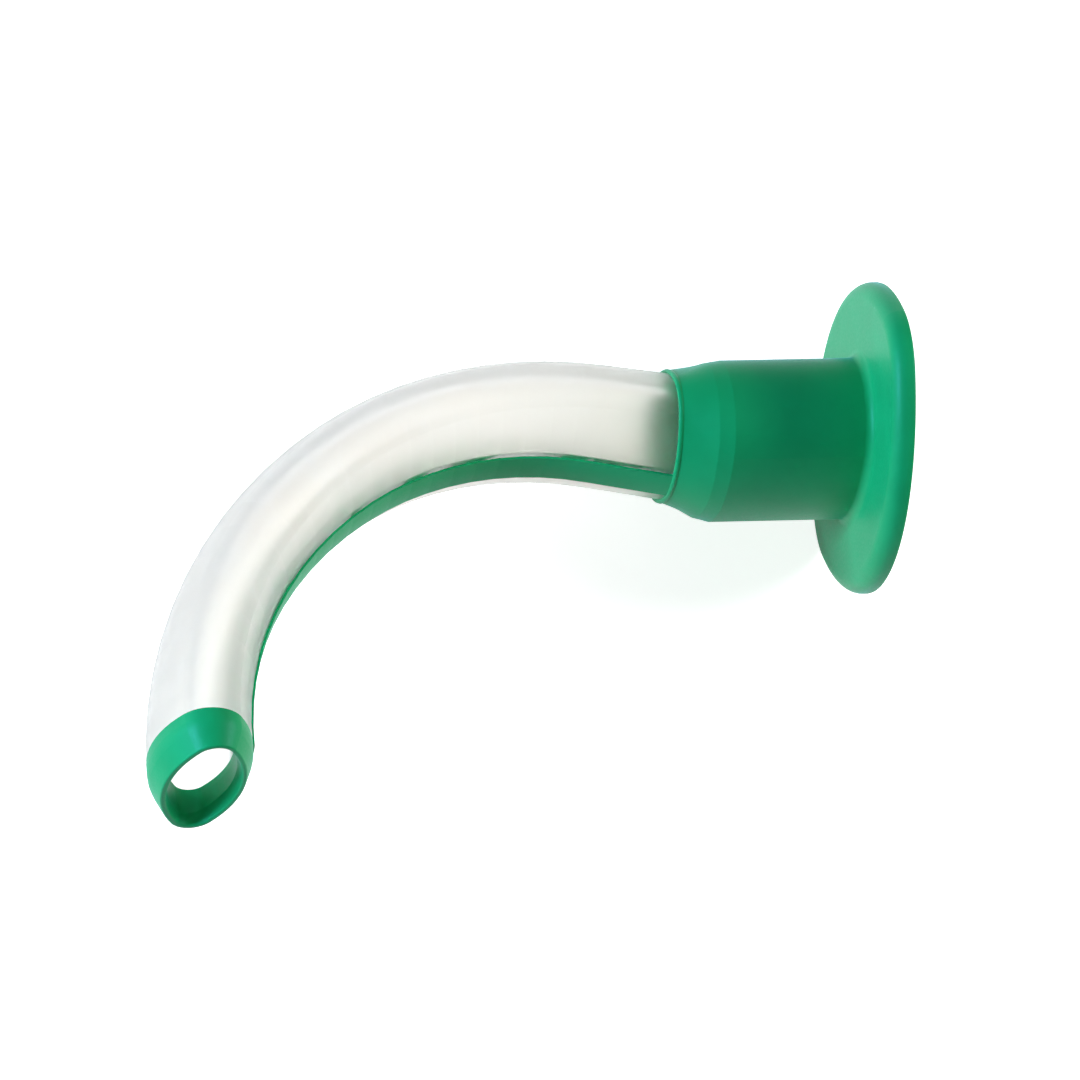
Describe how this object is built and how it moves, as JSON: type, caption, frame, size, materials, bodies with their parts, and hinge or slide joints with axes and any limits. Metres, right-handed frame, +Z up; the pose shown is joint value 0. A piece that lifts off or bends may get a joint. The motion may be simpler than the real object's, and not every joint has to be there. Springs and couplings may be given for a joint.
{
  "type": "oropharyngeal airway",
  "caption": "Curved oral airway with a clear oval tube, a green flange and bite block, a strip along the inside of the curve and a green tip ring, lying on its side.",
  "frame": {"origin": "centre of the bounding box in X and Y, on the floor that the airway lies on", "axes": "+X towards the flange, -X towards the bend of the tube, +Y towards the outside of the curve at the bite block, +Z up"},
  "size_m": [0.0872, 0.0564, 0.0383],
  "materials": {
    "clear_polypropylene": "translucent",
    "green_soft_plastic": "satin"
  },
  "bodies": {
    "root": {"airway_tube": "clear_polypropylene", "soft_overmould": "green_soft_plastic"}
  },
  "joints": []
}
